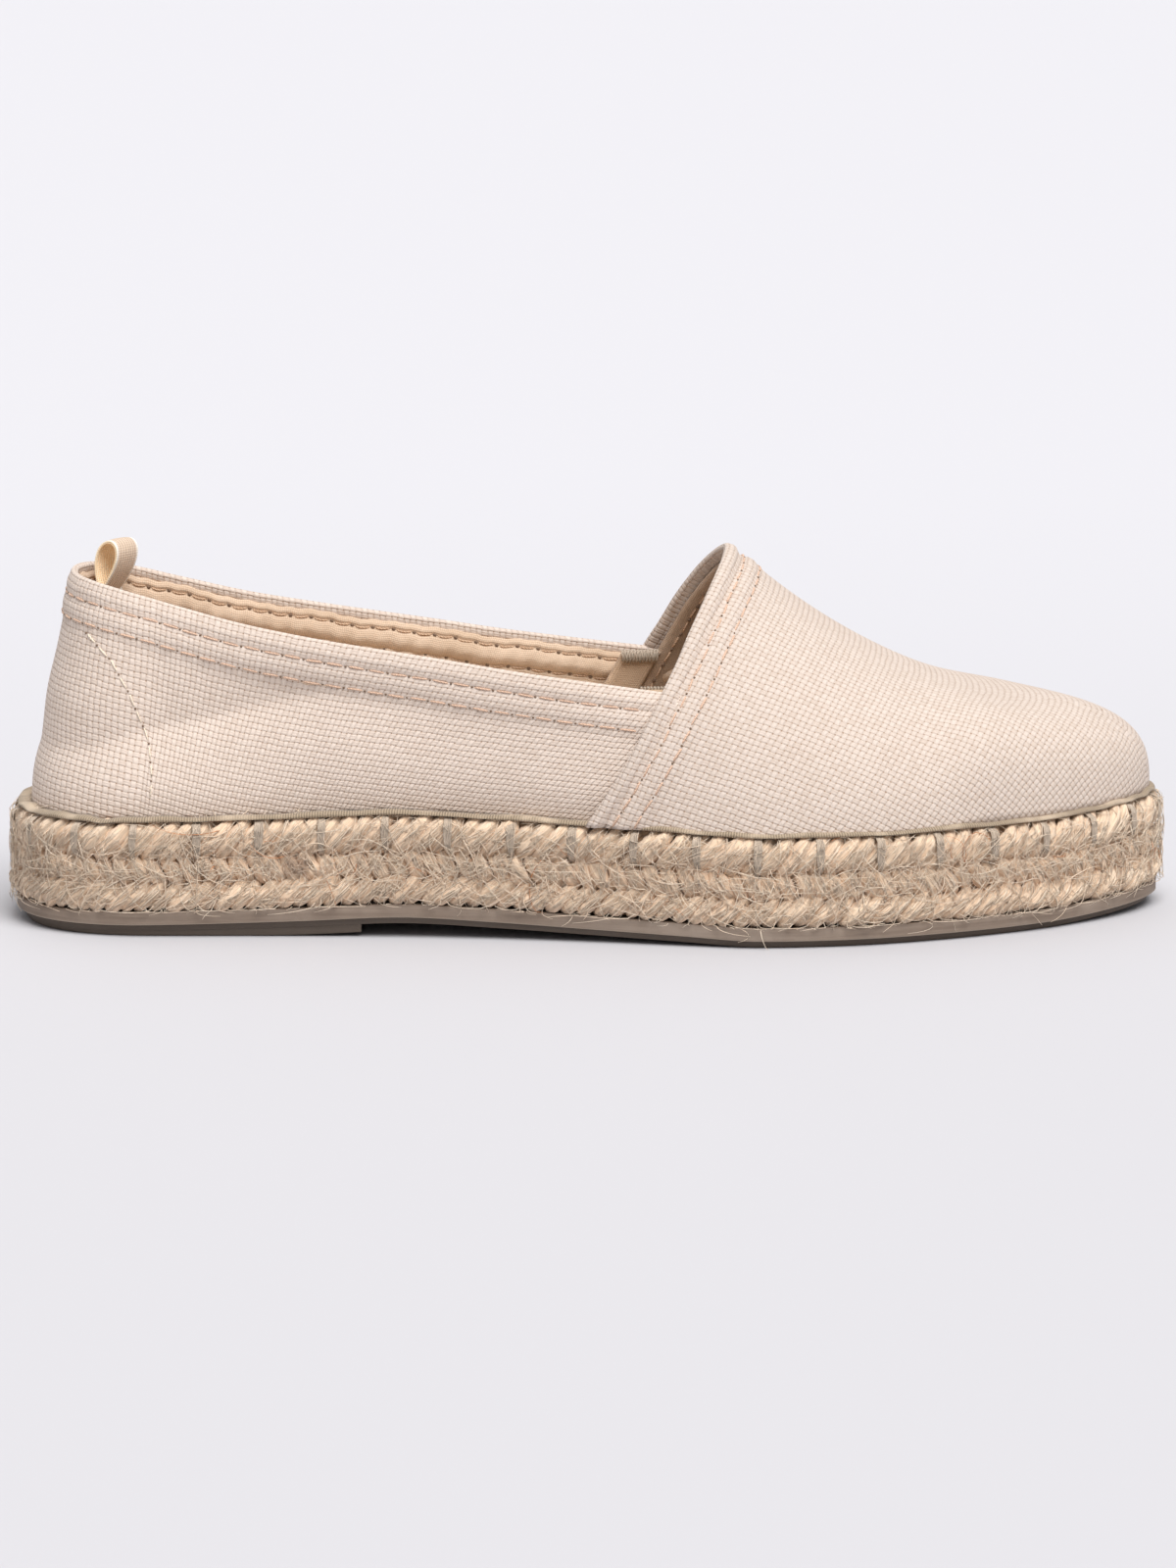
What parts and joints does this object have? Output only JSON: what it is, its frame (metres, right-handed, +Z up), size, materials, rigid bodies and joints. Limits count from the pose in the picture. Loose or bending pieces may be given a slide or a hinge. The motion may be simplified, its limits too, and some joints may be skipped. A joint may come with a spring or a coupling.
{
  "type": "espadrille",
  "caption": "Right slip-on canvas shoe on a thick plaited jute sole with a thin rubber outsole, open at the collar, with a heel pull loop.",
  "frame": {"origin": "on the floor, under the middle of the shoe's box", "axes": "+X from heel to toe, +Y towards the inner (medial) side, +Z up"},
  "size_m": [0.2496, 0.0884, 0.0811],
  "materials": {
    "rubber": "matt moulded rubber, grey brown",
    "jute": "hairy plaited jute, natural tan",
    "tape": "woven cotton tape, tan",
    "canvas": "basket-weave cotton canvas, cream",
    "sock": "cotton-covered insole, tan"
  },
  "bodies": {
    "root": {"outsole": "rubber", "jute_sole": "jute", "edge_tape": "tape", "insole": "sock", "upper": "canvas", "pull_loop": "tape"}
  },
  "joints": []
}
